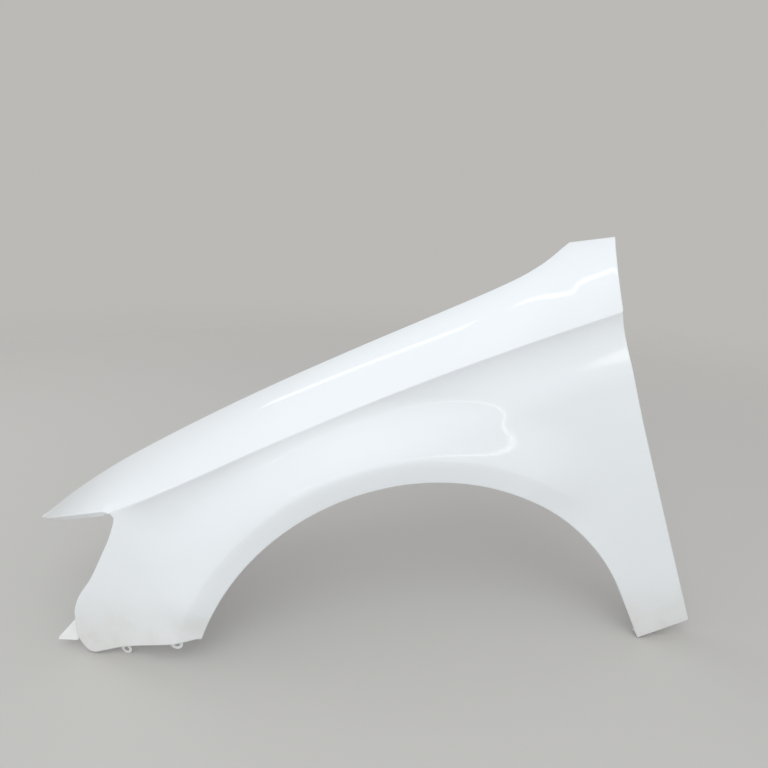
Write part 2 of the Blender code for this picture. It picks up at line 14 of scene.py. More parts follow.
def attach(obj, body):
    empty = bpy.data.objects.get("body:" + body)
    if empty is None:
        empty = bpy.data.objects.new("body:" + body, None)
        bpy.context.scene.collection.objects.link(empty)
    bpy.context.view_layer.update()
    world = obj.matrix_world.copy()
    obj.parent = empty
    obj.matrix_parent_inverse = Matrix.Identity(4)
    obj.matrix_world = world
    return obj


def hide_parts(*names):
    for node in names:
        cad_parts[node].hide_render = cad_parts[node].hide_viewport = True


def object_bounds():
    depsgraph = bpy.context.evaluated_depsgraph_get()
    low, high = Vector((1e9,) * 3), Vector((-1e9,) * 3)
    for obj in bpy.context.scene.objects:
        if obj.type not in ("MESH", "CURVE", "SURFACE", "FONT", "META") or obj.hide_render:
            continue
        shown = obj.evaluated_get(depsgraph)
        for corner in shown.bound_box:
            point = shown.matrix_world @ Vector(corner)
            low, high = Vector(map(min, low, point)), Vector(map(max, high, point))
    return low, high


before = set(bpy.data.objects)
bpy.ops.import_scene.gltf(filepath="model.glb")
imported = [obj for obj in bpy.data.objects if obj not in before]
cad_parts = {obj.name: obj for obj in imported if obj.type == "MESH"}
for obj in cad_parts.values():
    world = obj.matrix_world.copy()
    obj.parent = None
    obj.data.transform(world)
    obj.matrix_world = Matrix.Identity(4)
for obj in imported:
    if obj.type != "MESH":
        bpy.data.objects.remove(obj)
cad_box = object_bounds()

# Where the part's origin lies, from the wheel centre
PART_ORIGIN = Vector((0.0138807, 0.1420173, 0.4989289))

# Resolution: fine stations and rows for each one of the solid
FINE = 4
FOLD_STEPS = 8
LEG_ROWS = 4
CORNER_STEPS = 6
TAB_ROUND_STEPS = 24
HALVINGS = 40

# Sheet
SHEET_THICKNESS = 0.0008
FOLD_RADIUS = 0.002
WELD_DISTANCE = 0.00002
DISSOLVE_DISTANCE = WELD_DISTANCE / 4
SHARP_ANGLE = radians(40)

# Wheel arch: an arc about the wheel centre, then a straight leg down to the foot
ARCH_RADIUS = 0.354
ARCH_FRONT_ANGLE = radians(142.8)
ARCH_LEG_ANGLE = radians(7.7)
ARCH_NOTCH_ANGLE = radians(127)
ARCH_CREASE_END_ANGLE = radians(40)

# Lip band round the arch and the flare above it
LIP_WIDTH = 0.035
LIP_TUCK = 0.0045
FLARE_WIDTH = 0.088
FLARE_SOFTNESS = 0.0095
FLARE_KINK_SHARE = 0.77
FLARE_FULL_FRONT_ANGLE = radians(136)
FLARE_FULL_REAR_ANGLE = radians(49)
FLARE_END_REAR_ANGLE = radians(30)
FLARE_FRONT_END_SHARE = 0.78

# Body side
SIDE_BULGE_HEIGHT = 0.088
SIDE_BULGE_RADIUS = 2.4
SIDE_SETBACK = 0.003
NOSE_TURN_X = -0.160
NOSE_TURN_LENGTH = 0.290
NOSE_TUCK = 0.042

# Shoulder crease and the hollow under it
CREASE_REAR_HEIGHT = 0.483
CREASE_DROP = 0.0523
CREASE_DROP_POWER = 2.2
HOLLOW_HEIGHT = 0.100
HOLLOW_DEPTH = 0.0064
HOLLOW_START_LENGTH = 0.050
NOTCH_EASE_LENGTH = 0.170
# Brings the cubic across the hollow to 1 where it is deepest
HOLLOW_PEAK_FACTOR = 27 / 4

# Rounding of the crease: half its width behind the lamp notch and at the door
CREASE_ROUND_FRONT = 0.0016
CREASE_ROUND_REAR = 0.0010
CREASE_ROUND_START_LENGTH = 0.060
CREASE_ROUND_ROWS = 5 * FINE
CREASE_ROUND_SAMPLES = 9

# Door edge and foot
DOOR_EDGE_X = 0.446
DOOR_EDGE_BOW = 0.010
DOOR_EDGE_TOP_BOW = 0.030
DOOR_EDGE_BOW_HEIGHT = 0.330
DOOR_EDGE_WAIST_HEIGHT = 0.280
FOOT_HEIGHT = -0.056

# Nose: lamp notch, front edge and bumper line
NOTCH_X = -0.341
NOTCH_RADIUS = 0.012
NOTCH_TOP_ANGLE = radians(45)
NOTCH_BOTTOM_ANGLE = radians(-39)
NOTCH_EDGE_POINTS = 3
NOSE_REACH = 0.130
BUMPER_LINE_HEIGHT = 0.2205
BUMPER_LINE_BOW = 0.0045

# Hood edge, from the tip over the lamp to the corner beside the windscreen
TIP_X = -0.507
TIP_HEIGHT = 0.404
TIP_DEPTH = 0.204
TIP_WIDTH = 0.003
SPIKE_SWEEP_SHARE = 0.6
SPIKE_EDGE_LIFT = 0.0111
SCREEN_CORNER_X = 0.437
SCREEN_CORNER_RISE = 0.180
REAR_TOP_X = 0.500
REAR_TOP_HEIGHT = 0.576
REAR_TOP_DEPTH = 0.115
SCREEN_CREASE_X = 0.395

# Folded edges
ARCH_HEM_WIDTH = 0.013
ARCH_HEM_ANGLE = radians(109)
SPIKE_FLANGE_WIDTH = 0.008
FRONT_FLANGE_WIDTH = 0.010
BUMPER_FLANGE_WIDTH = 0.007
DOOR_FLANGE_WIDTH = 0.010
TOP_FLANGE_WIDTH = 0.009
SILL_FLANGE_WIDTH = 0.022

# Hood rail
RAIL_FRONT_X = -0.300
RAIL_HEIGHT = 0.498
RAIL_SLOPE = 0.125
RAIL_WIDTH = 0.016
RAIL_PAD_WIDTH = 0.027
SPIKE_WALL_TIP_SHARE = 0.3

# Tabs
BUMPER_EAR_LENGTHS = (0.014, 0.017)
ARCH_EAR_LENGTH = 0.007
DOOR_TAB_LENGTH = 0.020
DOOR_TAB_HOLE_REACH = DOOR_TAB_LENGTH / 3
BUMPER_TAB_REACH = 0.036
BUMPER_TAB_FOOT_REACH = 0.0025
BUMPER_TAB_FOOT_DROP = 0.0135
BUMPER_TAB_ROOT_WIDTH = 0.034

# Holes
BOLT_HOLE_DIAMETER = 0.009
EAR_HOLE_DIAMETER = 0.008
SCREW_HOLE_DIAMETER = 0.006
HOLE_WINDOW_SHARE = 0.9

# Fine stations along the panel and rows across the strip
FRONT_STATIONS = 12 * FINE
CREASE_STATIONS = 24 * FINE
SCREEN_STATIONS = 3 * FINE
DOOR_STATIONS = 15 * FINE
SPIKE_STATIONS = 9 * FINE
NOTCH_STATIONS = 2 * FINE
STRIP_ROWS = 7 * FINE

# How far the notch corner's turn reaches up the strip, and the stations between which it is
# taken out of the strip's lower edge
NOTCH_TRIM_WIDTH = 0.014
TRIM_START_STATION = SPIKE_STATIONS - 3 * FINE
TRIM_END_STATION = SPIKE_STATIONS + NOTCH_STATIONS + 2 * FINE

# Fine stations and rows along which a flange widens or turns from one way to another
SPIKE_FLANGE_START_STATIONS = 4
SPIKE_TURN_STATIONS = 2 * NOTCH_STATIONS
SHOULDER_TURN_ROWS = 2 * FINE

# Stations of the solid that carry a tab, a pad or a hole
PAD_SPACING_STATIONS = 5
PAD_STATIONS = (1, 2)
BUMPER_TAB_STATIONS = (3, 4)
DOOR_TAB_STATIONS = (2, 9)
BUMPER_EAR_STATIONS = ((3, 6), (10, 11))
ARCH_EAR_STATIONS = (0, 1)
SILL_HOLE_STATIONS = (2, 10)
ARCH_HOLE_SHARES = (0.05, 0.24, 0.43, 0.62, 0.80, 0.96)

# Rows of the solid: shares of the lip's width, then shares of the way from there to the edge
LIP_ROW_SHARES = (0.0, 0.3, 0.65, 0.88, 1.0, 1.12, 1.4)
ROW_SHARES = (0.14, 0.28, 0.42, 0.56, 0.69, 0.80, 0.89, 0.95, 1.0)
# Extra fine rows beside the crease, as shares of the way to it and away from it
NEAR_CREASE_BELOW = (0.9916, 0.9944, 0.9972)
NEAR_CREASE_ABOVE = (0.004, 0.008, 0.012, 0.018, 0.026)

# Points of the front edge: shares of the nose's reach forward and of the rise to the crease
FRONT_EDGE_SHARES = (
    (0.875, 0.0),
    (0.945, 0.02),
    (0.985, 0.075),
    (1.0, 0.155),
    (0.943, 0.285),
    (0.895, 0.36),
    (0.777, 0.45),
    (0.558, 0.56),
    (0.354, 0.69),
    (0.16, 0.82),
)

# Points of the hood edge: shares of its length, of its rise and of the tip's depth
HOOD_EDGE_SHARES = (
    (0.0, 0.0, 1.0),
    (0.10, 0.21, 0.89),
    (0.21, 0.375, 0.80),
    (0.40, 0.565, 0.695),
    (0.60, 0.705, 0.62),
    (0.84, 0.835, 0.562),
    (0.93, 0.905, 0.575),
    (1.0, 1.0, 0.686),
)

# Where the strip bends: shares of its width and of its rise, over the lamp and at the door
STRIP_FRONT_SHARES = (0.36, 0.68)
STRIP_REAR_SHARES = (0.40, 0.78)

# Directions
INBOARD = Vector((0, 1, 0))
DOWN = Vector((0, 0, -1))
SHOULDER_INWARD = Vector((0, 0.6, -0.8))
SPIKE_INWARD = Vector((0, 0.5, -0.87))

# Noises of the paints: scale, detail and roughness
WHITE_CLOUDS = (5.0, 4.0, 0.5)
DIRT_AND_SHADE_FILM = (22.0, 6.0, 0.6)
SPECKS = (260.0, 2.0, 0.6)
SMEARS = (9.0, 5.0, 0.65)
PEEL = (330.0, 2.0, 0.5)
THIN_CLOUDS = (7.0, 5.0, 0.6)
DUST_FILM = (30.0, 6.0, 0.65)
THIN_SMEARS = (60.0, 4.0, 0.6)
GRAIN = (900.0, 3.0, 0.6)

# Outer paint: white of two close tones, with dirt and painted shade low down and fine specks all
# over
WHITE_TONES = ((0.79, 0.82, 0.84, 1), (0.81, 0.84, 0.86, 1))
TONE_RANGE = (0.3, 0.7)
# Colour of the low film, which stands both for road dirt and for painted shade near the floor
DIRT_AND_SHADE_COLOUR = (0.50, 0.40, 0.28, 1)
DIRT_AND_SHADE_HEIGHTS = (-0.40, -0.28)
DIRT_AND_SHADE_FILM_RANGE = (0.42, 0.72)
DIRT_AND_SHADE_BASE = 1.2
DIRT_AND_SHADE_AMOUNT = 0.15
SPECK_RANGE = (0.66, 0.78)
SPECK_AMOUNT = 0.035
SMEAR_RANGE = (0.35, 0.75)
PAINT_ROUGHNESS = (0.29, 0.38)
DIRT_ROUGHNESS = 0.6
PAINT_IOR = 1.5
COAT_ROUGHNESS = 0.06
PEEL_STRENGTH = 0.12

# Inner paint: greyer and duller, with grain and dust
THIN_TONES = ((0.60, 0.62, 0.63, 1), (0.70, 0.72, 0.73, 1))
DUST_COLOUR = (0.46, 0.43, 0.37, 1)
DUST_RANGE = (0.5, 0.8)
DUST_AMOUNT = 0.25
THIN_ROUGHNESS = (0.42, 0.62)
GRAIN_STRENGTH = 0.25
BUMP_DISTANCE = 0.0002

# Direction off the floor that the panel stands on, in which the dirt and painted shade's heights
# are measured
OFF_FLOOR = Vector((0.325, 0, 0.946))

# Level directions of the photograph, by which the floor and the lamps are placed
LEVEL_RIGHT = Vector((0.949, -0.1424, -0.2811))
LEVEL_FORWARD = Vector((0.1365, 0.9898, -0.0404))
LEVEL_UP = Vector((0.2839, 0, 0.9588)).normalized()

# Camera: its place from the wheel centre, where the photograph was taken from
CAMERA_PLACE = Vector((0.0371, -0.9476, 0.8135))
CAMERA_RIGHT = LEVEL_RIGHT
CAMERA_UP = Vector((0.311, 0.2801, 0.9082))
LENS_MM = 33.8
SENSOR_MM = 36.0
CLIP_START = 0.01
CLIP_END = 100

# Floor and backdrop
FLOOR_SIZE = 60.0
FLOOR_GAP = 0.0005
FLOOR_FADE_START = 0.9
FLOOR_FADE_END = 3.2
FLOOR_COLOUR = (0.552, 0.539, 0.515, 1)
FLOOR_ROUGHNESS = 0.9
FLOOR_SPECULAR = 0.1
BACKDROP_COLOUR = (0.497, 0.489, 0.471, 1)

# Daylight, which is brighter from behind the camera than from its far side
SKY_COLOUR = (0.97, 0.975, 1.0, 1)
DIM_SIDE = (LEVEL_FORWARD + LEVEL_RIGHT * 0.5).normalized()
DIM_RANGE = (-0.8, 0.7)
SKY_STRENGTHS = (1.0, 0.48)

# Lamps: level places to the right, forward and up from the part's origin
SOFT_COLOUR = (0.935, 0.995, 1.0)
KEY_PLACE = (0.0, -2.6, 2.35)
KEY_LENGTH = 2.6
KEY_WIDTH = 2.4
KEY_WATTS = 40.0
FILL_PLACE = (-1.5, 0.9, 0.9)
FILL_TARGET = (-0.5, 0.0, -0.1)
FILL_LENGTH = 1.2
FILL_WIDTH = 1.0
FILL_WATTS = 3.0
TUBE_COLOUR = (1.0, 0.99, 0.97)
TUBE_WIDTH = 0.10
# Name, both ends and watts of each tube, whose reflections are the streaks on the paint
TUBES = (
    ("front_tube", (-1.90, 1.38, 2.2), (-0.22, -0.33, 2.2), 2.2),
    ("rear_tube", (0.05, -0.52, 2.2), (0.95, -1.20, 2.2), 1.3),
    ("low_tube", (-1.15, -3.7, 1.05), (4.50, -3.7, 1.05), 5.5),
)


# Curves and surfaces

def blend(start, end, share):
    return start + (end - start) * share


def smooth_step(value, low, high):
    share = min(1, max(0, (value - low) / (high - low)))
    return share * share * (3 - 2 * share)


def bow(share):
    """1 half way and 0 at both ends, along a parabola."""
    return 4 * share * (1 - share)


def cubic_point(start, end, pull_start, pull_end, share):
    """A point on the curve between two points that leaves and meets them along two pulls."""
    square = (end - start) * 3 - pull_start * 2 - pull_end
    cubic = (start - end) * 2 + pull_start + pull_end
    return start + pull_start * share + square * share ** 2 + cubic * share ** 3


def spline_point(points, share):
    """A point on the smooth curve through evenly numbered points, share from 0 to 1."""
    position = share * (len(points) - 1)
    index = min(int(position), len(points) - 2)
    local = position - index
    start = Vector(points[index])
    end = Vector(points[index + 1])
    before = Vector(points[index - 1]) if index > 0 else start * 2 - end
    after = Vector(points[index + 2]) if index + 2 < len(points) else end * 2 - start
    return cubic_point(start, end, (end - before) / 2, (after - start) / 2, local)


def crease_height(x):
    share = (DOOR_EDGE_X - x) / (DOOR_EDGE_X - NOTCH_X)
    return CREASE_REAR_HEIGHT - CREASE_DROP * max(0, share) ** CREASE_DROP_POWER


def flare_strength(x, z):
    """How much of the flare there is: all of it over the wheel, none by the door."""
    rise = z / hypot(x, z)
    if x > 0:
        return smooth_step(rise, sin(FLARE_END_REAR_ANGLE), sin(FLARE_FULL_REAR_ANGLE))
    fade = smooth_step(rise, sin(ARCH_FRONT_ANGLE), sin(FLARE_FULL_FRONT_ANGLE))
    return blend(FLARE_FRONT_END_SHARE, 1, fade)


def side_depth(x, z):
    """Depth inboard of the arch plane of the body side below the crease."""
    nose_share = max(0, NOSE_TURN_X - x) / NOSE_TURN_LENGTH
    body = SIDE_SETBACK + NOSE_TUCK * nose_share ** 2
    body += (z - SIDE_BULGE_HEIGHT) ** 2 / (2 * SIDE_BULGE_RADIUS)

    below = (crease_height(x) - z) / HOLLOW_HEIGHT
    if 0 < below < 1:
        fade = smooth_step(x, NOTCH_X, NOTCH_X + HOLLOW_START_LENGTH)
        body += HOLLOW_DEPTH * fade * below * (1 - below) ** 2 * HOLLOW_PEAK_FACTOR

    outward = max(0, hypot(x, z) - ARCH_RADIUS)
    past_lip = outward - LIP_WIDTH
    ramp = (past_lip + sqrt(past_lip ** 2 + FLARE_SOFTNESS ** 2)) / 2
    left = max(0, 1 - ramp / FLARE_WIDTH)
    slope = blend(smooth_step(left, 0, 1), left ** 2, FLARE_KINK_SHARE)
    flare = flare_strength(x, z) * slope
    lip = LIP_TUCK * (max(0, 1 - outward / LIP_WIDTH) - 1)
    return blend(body, lip, flare)


def side_point(x, z):
    return Vector((x, side_depth(x, z), z))


def arch_lengths():
    """Lengths of the skin's arc round the arch and of the straight leg below it."""
    radius = ARCH_RADIUS + FOLD_RADIUS
    leg_drop = radius * sin(ARCH_LEG_ANGLE) - FOOT_HEIGHT - FOLD_RADIUS
    return radius * (ARCH_FRONT_ANGLE - ARCH_LEG_ANGLE), leg_drop / cos(ARCH_LEG_ANGLE)


def arch_share_of_angle(angle):
    """The share of the arch edge at which an angle about the wheel centre is reached."""
    arc, leg = arch_lengths()
    return (ARCH_RADIUS + FOLD_RADIUS) * (ARCH_FRONT_ANGLE - angle) / (arc + leg)


def arch_edge(share):
    """The arch edge from its front end to the foot, share from 0 to 1, as x and z."""
    radius = ARCH_RADIUS + FOLD_RADIUS
    arc, leg = arch_lengths()
    way = share * (arc + leg)
    if way < arc:
        angle = ARCH_FRONT_ANGLE - way / radius
        return radius * cos(angle), radius * sin(angle)
    fallen = (way - arc) * cos(ARCH_LEG_ANGLE)
    x = radius * cos(ARCH_LEG_ANGLE) + fallen * tan(ARCH_LEG_ANGLE)
    return x, radius * sin(ARCH_LEG_ANGLE) - fallen


def notch_point(angle):
    """A point of the rounded corner behind the headlamp, as x and z."""
    centre_x = NOTCH_X - NOTCH_RADIUS
    centre_z = crease_height(NOTCH_X) - NOTCH_RADIUS / 2
    return centre_x + NOTCH_RADIUS * cos(angle), centre_z + NOTCH_RADIUS * sin(angle)


def front_edge(share):
    """The edge beside bumper and headlamp, from the bumper line to the crease, as x and z."""
    rise = crease_height(NOTCH_X) - BUMPER_LINE_HEIGHT
    bottom = BUMPER_LINE_HEIGHT + FOLD_RADIUS
    points = [
        (NOTCH_X - NOSE_REACH * reach_share + FOLD_RADIUS, bottom + rise * rise_share, 0)
        for reach_share, rise_share in FRONT_EDGE_SHARES
    ]
    for step in range(NOTCH_EDGE_POINTS):
        turn = blend(NOTCH_BOTTOM_ANGLE, NOTCH_TOP_ANGLE, step / (NOTCH_EDGE_POINTS - 1))
        points.append((*notch_point(turn), 0))
    point = spline_point(points, share)
    return point.x, point.y


def door_edge(share):
    """The door edge below the crease, from the crease down to the foot, as x and z."""
    z = blend(crease_height(DOOR_EDGE_X), FOOT_HEIGHT + FOLD_RADIUS, share)
    bow_share = (z - DOOR_EDGE_WAIST_HEIGHT) / DOOR_EDGE_BOW_HEIGHT
    bow = DOOR_EDGE_TOP_BOW if bow_share > 0 else DOOR_EDGE_BOW
    return DOOR_EDGE_X + bow * bow_share ** 2 - FOLD_RADIUS, z


def hood_edge(share):
    """The edge beside the hood, from the tip to the windscreen corner."""
    points = [
        (
            blend(TIP_X, SCREEN_CORNER_X, length_share),
            TIP_DEPTH * depth_share,
            TIP_HEIGHT + SCREEN_CORNER_RISE * rise_share,
        )
        for length_share, rise_share, depth_share in HOOD_EDGE_SHARES
    ]
    return spline_point(points, share)


def hood_edge_at(x):
    """The hood edge's point at a place along the car, found by halving."""
    low = 0.0
    high = 1.0
    for _ in range(HALVINGS):
        middle = (low + high) / 2
        if hood_edge(middle).x < x:
            low = middle
        else:
            high = middle
    return hood_edge(low)


def crease_edge_height(x):
    """The crease's height, eased onto the rounded notch corner at its front end."""
    notch_x, notch_z = notch_point(NOTCH_TOP_ANGLE)
    gap = notch_z - crease_height(notch_x)
    ease = max(0, 1 - (x - notch_x) / NOTCH_EASE_LENGTH) ** 2
    return crease_height(x) + gap * ease


# Skin: rows of points across the panel

def bumper_line_lift(station, share):
    """How far a point is lifted by the bow of the bumper line, share from arch to front edge."""
    nearness = max(0, 1 - station / FRONT_STATIONS)
    return BUMPER_LINE_BOW * bow(share) * nearness ** 2


def refined(values):
    """A list of numbers with evenly spread ones put between its neighbours."""
    fine = []
    for low, high in zip(values, values[1:]):
        fine += [blend(low, high, step / FINE) for step in range(FINE)]
    return fine + [values[-1]]


def crease_places():
    front = notch_point(NOTCH_TOP_ANGLE)[0]
    rear = door_edge(0)[0]
    places = [blend(front, SCREEN_CREASE_X, i / CREASE_STATIONS) for i in range(CREASE_STATIONS)]
    places += [
        blend(SCREEN_CREASE_X, rear, i / SCREEN_STATIONS) for i in range(SCREEN_STATIONS + 1)
    ]
    return places


def body_side_rows():
    """The skin below the crease: rows from the arch edge to the outer edge."""
    notch_share = arch_share_of_angle(ARCH_NOTCH_ANGLE)
    crease_end_share = arch_share_of_angle(ARCH_CREASE_END_ANGLE)
    places = crease_places()
    pairs = []
    for station in range(FRONT_STATIONS):
        share = station / FRONT_STATIONS
        pairs.append((arch_edge(notch_share * share), front_edge(share)))
    for x in places[:-1]:
        share = (x - places[0]) / (places[-1] - places[0])
        inner = arch_edge(blend(notch_share, crease_end_share, share))
        pairs.append((inner, (x, crease_edge_height(x))))
    for station in range(DOOR_STATIONS + 1):
        share = station / DOOR_STATIONS
        pairs.append((arch_edge(blend(crease_end_share, 1, share)), door_edge(share)))

    lip_shares = refined(LIP_ROW_SHARES)
    outer_shares = refined((0.0,) + ROW_SHARES)[1:]
    outer_shares[-1:-1] = NEAR_CREASE_BELOW
    columns = []
    for station, (inner, outer) in enumerate(pairs):
        way_x = outer[0] - inner[0]
        way_z = outer[1] - inner[1]
        way = hypot(way_x, way_z)
        shares = [LIP_WIDTH * row_share / way for row_share in lip_shares]
        shares += [blend(shares[-1], 1, row_share) for row_share in outer_shares]
        column = []
        for share in shares:
            z = inner[1] + way_z * share + bumper_line_lift(station, share)
            column.append(side_point(inner[0] + way_x * share, z))
        columns.append(column)
    return [list(row) for row in zip(*columns)]


def strip_edges():
    """Pairs of points, on the strip's lower edge and on its hood edge, from tip to door."""
    notch_x, notch_z = notch_point(NOTCH_TOP_ANGLE)
    notch_depth = side_depth(notch_x, notch_z)
    top_x, top_z = notch_point(pi / 2)
    low_tip = hood_edge(0) + DOWN * TIP_WIDTH
    lower_edge = []
    for station in range(SPIKE_STATIONS):
        share = station / SPIKE_STATIONS
        lower_edge.append((blend(low_tip.x, top_x, share), blend(low_tip.z, top_z, share)))
    for station in range(NOTCH_STATIONS):
        lower_edge.append(notch_point(blend(pi / 2, NOTCH_TOP_ANGLE, station / NOTCH_STATIONS)))
    pairs = []
    for x, z in lower_edge:
        left = (notch_x - x) / (notch_x - low_tip.x)
        sweep = blend(left, left ** 2, SPIKE_SWEEP_SHARE)
        lift = SPIKE_EDGE_LIFT * bow(left)
        low = Vector((x, blend(notch_depth, low_tip.y, sweep), z + lift))
        pairs.append((low, hood_edge_at(x)))

    corner = Vector((REAR_TOP_X - FOLD_RADIUS, REAR_TOP_DEPTH, REAR_TOP_HEIGHT))
    for station, x in enumerate(crease_places()):
        low = side_point(x, crease_edge_height(x))
        if station < CREASE_STATIONS:
            high = hood_edge_at(blend(notch_x, SCREEN_CORNER_X, station / CREASE_STATIONS))
        else:
            high = blend(hood_edge(1), corner, (station - CREASE_STATIONS) / SCREEN_STATIONS)
        pairs.append((low, high))
    return pairs


def strip_shares():
    """Shares of the strip's width at which its rows lie, closer together by the crease."""
    return [0, *NEAR_CREASE_ABOVE] + [row / STRIP_ROWS for row in range(1, STRIP_ROWS + 1)]


def untrimmed_edge(lows):
    """The strip's lower edge as it would run on without the turn at the notch corner."""
    first = TRIM_START_STATION
    last = TRIM_END_STATION
    start, end = lows[first], lows[last]
    before = (start - lows[first - FINE]) / (start.x - lows[first - FINE].x)
    after = (lows[last + FINE] - end) / (lows[last + FINE].x - end.x)
    length = end.x - start.x
    smooth = list(lows)
    for station in range(first, last):
        share = (lows[station].x - start.x) / length
        smooth[station] = cubic_point(start, end, before * length, after * length, share)
    return smooth


def shoulder_strip_rows():
    """The skin above the crease: a convex strip from crease or lamp edge to hood edge."""
    columns = []
    pairs = strip_edges()
    for (trimmed, high), low in zip(pairs, untrimmed_edge([low for low, _ in pairs])):
        fade = smooth_step(low.x, NOTCH_X, NOTCH_X + NOTCH_EASE_LENGTH)
        width_share = blend(STRIP_FRONT_SHARES[0], STRIP_REAR_SHARES[0], fade)
        rise_share = blend(STRIP_FRONT_SHARES[1], STRIP_REAR_SHARES[1], fade)
        bend = Vector((
            blend(low.x, high.x, width_share),
            blend(low.y, high.y, width_share),
            blend(low.z, high.z, rise_share),
        ))
        column = []
        for share in strip_shares():
            near = max(0, 1 - share * (high - low).length / NOTCH_TRIM_WIDTH) ** 2
            point = blend(blend(low, bend, share), blend(bend, high, share), share)
            column.append(point + (trimmed - low) * near)
        columns.append(column)
    return [list(row) for row in zip(*columns)]


def point_along(line, ways, way):
    """The point of a polyline at a length along it."""
    for index in range(1, len(line) - 1):
        if ways[index] > way:
            break
    else:
        index = len(line) - 1
    share = (way - ways[index - 1]) / (ways[index] - ways[index - 1])
    return blend(line[index - 1], line[index], share)


def round_crease(side, strip):
    """Rounds the skin across the crease, softly behind the lamp and crisply by the door."""
    places = crease_places()
    span = CREASE_ROUND_ROWS
    for station, x in enumerate(places):
        below = FRONT_STATIONS + station
        above = SPIKE_STATIONS + NOTCH_STATIONS + station
        line = [row[below] for row in side[-span:]] + [row[above] for row in strip[1:span]]
        ways = [0.0]
        for start, end in zip(line, line[1:]):
            ways.append(ways[-1] + (end - start).length)
        share = (x - places[0]) / (places[-1] - places[0])
        half = blend(CREASE_ROUND_FRONT, CREASE_ROUND_REAR, share)
        half *= smooth_step(x, places[0], places[0] + CREASE_ROUND_START_LENGTH)
        if not half:
            continue
        crease_way = ways[span - 1]
        rounded = []
        for point, way in zip(line, ways):
            reach = half * 2 - abs(way - crease_way)
            if reach <= 0:
                rounded.append(point)
                continue
            reach = min(half, reach)
            total = Vector()
            for sample in range(CREASE_ROUND_SAMPLES):
                offset = reach * (2 * sample / (CREASE_ROUND_SAMPLES - 1) - 1)
                total += point_along(line, ways, way + offset)
            rounded.append(total / CREASE_ROUND_SAMPLES)
        for row, point in zip(side[-span:], rounded):
            row[below] = point
        for row, point in zip(strip, rounded[span - 1:]):
            row[above] = point.copy()


# Flanges: rows that carry the skin's edges round their bends

def outward_directions(edge, inner):
    """Unit vectors that lie in the skin and point off its edge."""
    outs = []
    for index, point in enumerate(edge):
        ahead = edge[min(index + 1, len(edge) - 1)]
        behind = edge[max(index - 1, 0)]
        along = (ahead - behind).normalized()
        off = point - inner[index]
        outs.append((off - along * off.dot(along)).normalized())
    return outs


def folded_rows(edge, outs, inwards, widths, angle=pi / 2):
    """Rows round a bend at an edge of the skin and along the straight leg after it."""
    rows = [list(edge)]
    ins = [(way - out * way.dot(out)).normalized() for way, out in zip(inwards, outs)]
    for step in range(1, FOLD_STEPS + 1):
        turn = angle * step / FOLD_STEPS
        reach = FOLD_RADIUS * sin(turn)
        rise = FOLD_RADIUS * (1 - cos(turn))
        rows.append([p + out * reach + way * rise for p, out, way in zip(edge, outs, ins)])
    legs = [out * cos(angle) + way * sin(angle) for out, way in zip(outs, ins)]
    bend_end = rows[-1]
    for step in range(1, LEG_ROWS + 1):
        share = step / LEG_ROWS
        rows.append([p + leg * width * share for p, leg, width in zip(bend_end, legs, widths)])
    return rows


def inboard_fold(edge, inner, widths, angle=pi / 2):
    outs = outward_directions(edge, inner)
    return folded_rows(edge, outs, [INBOARD] * len(edge), widths, angle)


def arch_hem_rows(side):
    return inboard_fold(side[0], side[1], [ARCH_HEM_WIDTH] * len(side[0]), ARCH_HEM_ANGLE)


def front_flange_rows(side):
    """The flange beside bumper and headlamp, deepest where the bumper tab grows from it."""
    count = FRONT_STATIONS + 1
    widths = []
    for station in range(count):
        near = max(0, 1 - abs(station / FINE - BUMPER_TAB_STATIONS[1]))
        widths.append(blend(FRONT_FLANGE_WIDTH, BUMPER_TAB_ROOT_WIDTH, near))
    return inboard_fold(side[-1][:count], side[-2][:count], widths)


def door_flange_rows(side):
    start = FRONT_STATIONS + CREASE_STATIONS + SCREEN_STATIONS
    edge = side[-1][start:]
    return inboard_fold(edge, side[-2][start:], [DOOR_FLANGE_WIDTH] * len(edge))


def bumper_flange_rows(side):
    edge = [row[0] for row in side]
    inner = [row[1] for row in side]
    return inboard_fold(edge, inner, [BUMPER_FLANGE_WIDTH] * len(edge))


def sill_flange_rows(side):
    edge = [row[-1] for row in side]
    count = len(edge)
    return folded_rows(edge, [DOWN] * count, [INBOARD] * count, [SILL_FLANGE_WIDTH] * count)


def spike_flange_rows(strip):
    """The flange over the headlamp, from behind the tip to the notch corner."""
    count = SPIKE_STATIONS + NOTCH_STATIONS + 1
    edge = strip[0][FINE:count]
    outs = outward_directions(edge, strip[1][FINE:count])
    turns = [min(1, (len(edge) - 1 - i) / SPIKE_TURN_STATIONS) for i in range(len(edge))]
    inwards = [blend(INBOARD, SPIKE_INWARD, turn).normalized() for turn in turns]
    widths = [
        SPIKE_FLANGE_WIDTH * min(1, (i / FINE + 1) / SPIKE_FLANGE_START_STATIONS)
        for i in range(len(edge))
    ]
    return folded_rows(edge, outs, inwards, widths)


def shoulder_flange_rows(strip):
    """The door-side flange of the strip, which turns with the shoulder."""
    edge = [row[-1] for row in strip]
    outs = outward_directions(edge, [row[-2] for row in strip])
    turns = [min(1, share * STRIP_ROWS / SHOULDER_TURN_ROWS) for share in strip_shares()]
    inwards = [blend(INBOARD, SHOULDER_INWARD, turn).normalized() for turn in turns]
    return folded_rows(edge, outs, inwards, [DOOR_FLANGE_WIDTH] * len(edge))


def top_flange_rows(strip):
    edge = strip[-1][-SCREEN_STATIONS - 1:]
    outs = outward_directions(edge, strip[-2][-SCREEN_STATIONS - 1:])
    return folded_rows(edge, outs, [DOWN] * len(edge), [TOP_FLANGE_WIDTH] * len(edge))


def rail_height(x):
    return RAIL_HEIGHT + RAIL_SLOPE * x


